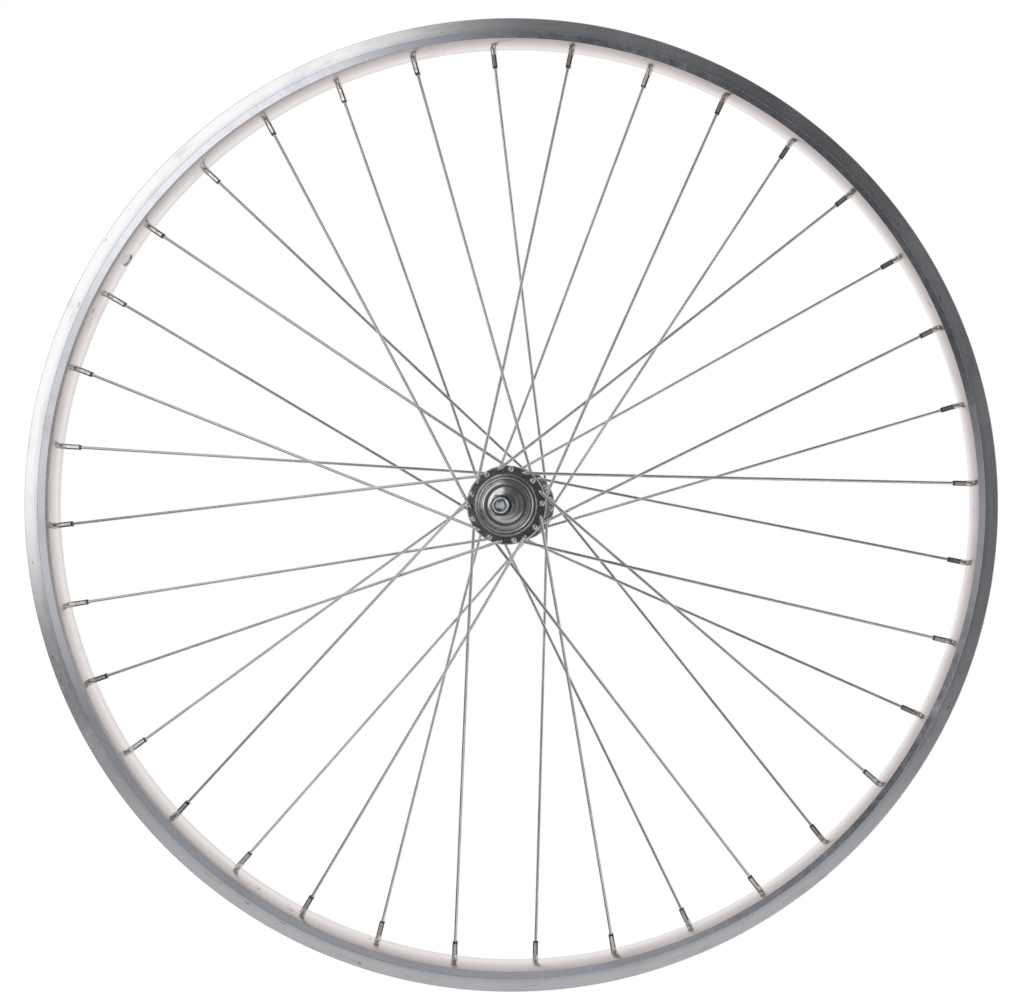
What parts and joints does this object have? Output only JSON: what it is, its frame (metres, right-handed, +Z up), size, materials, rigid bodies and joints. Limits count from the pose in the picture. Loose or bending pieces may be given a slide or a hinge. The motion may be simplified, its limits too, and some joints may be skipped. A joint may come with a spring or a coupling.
{
  "type": "bicycle wheel",
  "caption": "Spoked bicycle rear wheel: aluminium rim laced three-cross to a flanged hub that spins on cup-and-cone ball bearings round a hollow axle.",
  "frame": {"origin": "centre of the wheel, on the axle's axis, midway between the lock nuts' outer faces and in the rim's middle plane", "axes": "+Y along the axle towards the freewheel side, +Z up, +X to the right seen from the left side of the bicycle"},
  "size_m": [0.634, 0.132, 0.634],
  "materials": {
    "rim": "polished extrusion, silver",
    "spoke": "zinc-plated drawn wire",
    "nipple": "nickel-plated brass",
    "hub": "bright plated steel",
    "dust_cap": "bright plated sheet steel",
    "bearing": "hardened ground steel",
    "axle_fitting": "plated turned steel",
    "axle": "plated turned steel"
  },
  "bodies": {
    "axle_set": {"axle": "axle", "left_cone": "bearing", "left_lock_washer": "axle_fitting", "left_spacer": "axle_fitting", "left_locknut": "axle_fitting", "right_cone": "bearing", "right_lock_washer": "axle_fitting", "right_spacer": "axle_fitting", "right_locknut": "axle_fitting"},
    "wheel": {"rim": "rim", "nipples": "nipple", "hub_shell": "hub", "spoke_01": "spoke", "spoke_02": "spoke", "spoke_03": "spoke", "spoke_04": "spoke", "spoke_05": "spoke", "spoke_06": "spoke", "spoke_07": "spoke", "spoke_08": "spoke", "spoke_09": "spoke", "spoke_10": "spoke", "spoke_11": "spoke", "spoke_12": "spoke", "spoke_13": "spoke", "spoke_14": "spoke", "spoke_15": "spoke", "spoke_16": "spoke", "spoke_17": "spoke", "spoke_18": "spoke", "spoke_19": "spoke", "spoke_20": "spoke", "spoke_21": "spoke", "spoke_22": "spoke", "spoke_23": "spoke", "spoke_24": "spoke", "spoke_25": "spoke", "spoke_26": "spoke", "spoke_27": "spoke", "spoke_28": "spoke", "spoke_29": "spoke", "spoke_30": "spoke", "spoke_31": "spoke", "spoke_32": "spoke", "spoke_33": "spoke", "spoke_34": "spoke", "spoke_35": "spoke", "spoke_36": "spoke", "left_cup": "bearing", "left_dust_cap": "dust_cap", "right_cup": "bearing", "right_dust_cap": "dust_cap"},
    "left_ball_ring": {"left_balls": "bearing"},
    "right_ball_ring": {"right_balls": "bearing"}
  },
  "joints": [
    {"name": "wheel_spin", "type": "hinge", "parent": "axle_set", "child": "wheel", "pos_m": [0, 0, 0], "axis": [0, 1, 0], "continuous": true},
    {"name": "left_ball_orbit", "type": "hinge", "parent": "axle_set", "child": "left_ball_ring", "pos_m": [0, 0, 0], "axis": [0, 1, 0], "continuous": true},
    {"name": "right_ball_orbit", "type": "hinge", "parent": "axle_set", "child": "right_ball_ring", "pos_m": [0, 0, 0], "axis": [0, 1, 0], "continuous": true}
  ],
  "couplings": [
    {"joint": "left_ball_orbit", "follows": "wheel_spin", "ratio": 0.617},
    {"joint": "right_ball_orbit", "follows": "wheel_spin", "ratio": 0.617}
  ]
}
